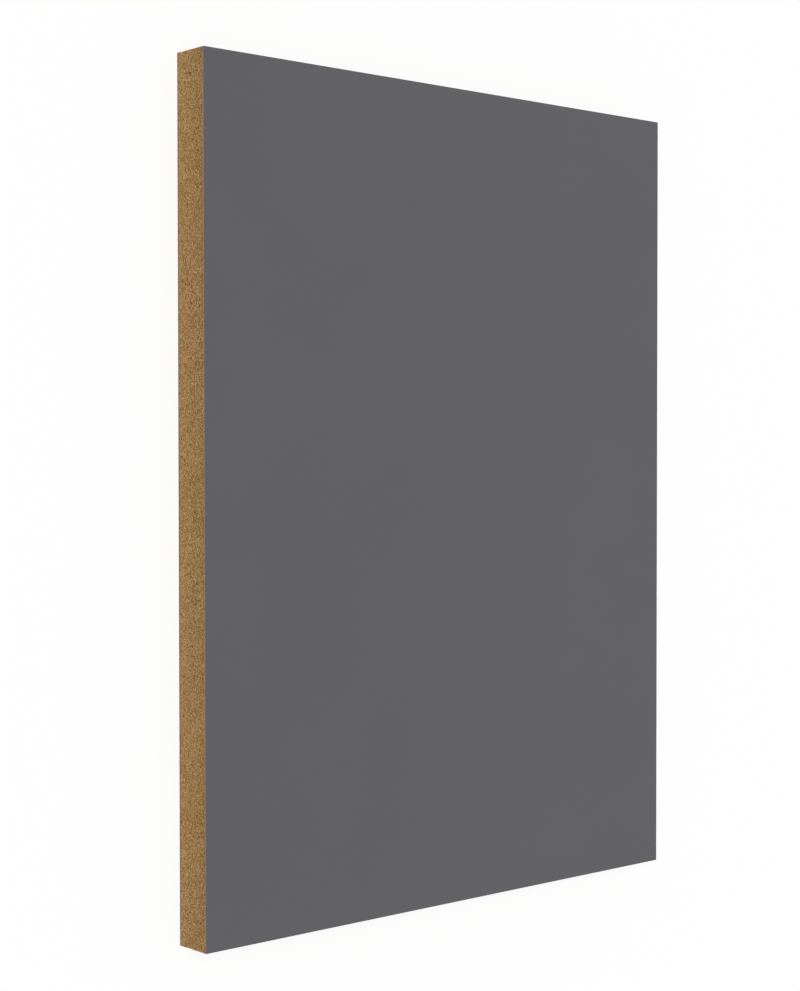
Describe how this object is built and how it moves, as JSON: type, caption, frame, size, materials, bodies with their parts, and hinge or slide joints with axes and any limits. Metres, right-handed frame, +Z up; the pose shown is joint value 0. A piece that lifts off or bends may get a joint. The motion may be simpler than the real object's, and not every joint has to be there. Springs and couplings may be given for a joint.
{
  "type": "laminate board",
  "caption": "Flat rectangular laminate board: a sawn fibreboard core with a matt grey decor sheet bonded to its face and a like sheet to its back, bare brown fibre on the cut edges.",
  "frame": {"origin": "middle of the underside, where the back of the board lies on the floor", "axes": "+Z up out of the decor face, +Y along the length, +X along the width"},
  "size_m": [0.27, 0.36, 0.018],
  "materials": {
    "mdf": "bare sawn fibreboard, fine fibre flecks",
    "face_laminate": "plain matt grey laminate",
    "backing_laminate": "plain matt grey laminate, sanded dull"
  },
  "bodies": {
    "root": {"mdf_core": "mdf", "face_laminate": "face_laminate", "backing_laminate": "backing_laminate"}
  },
  "joints": []
}
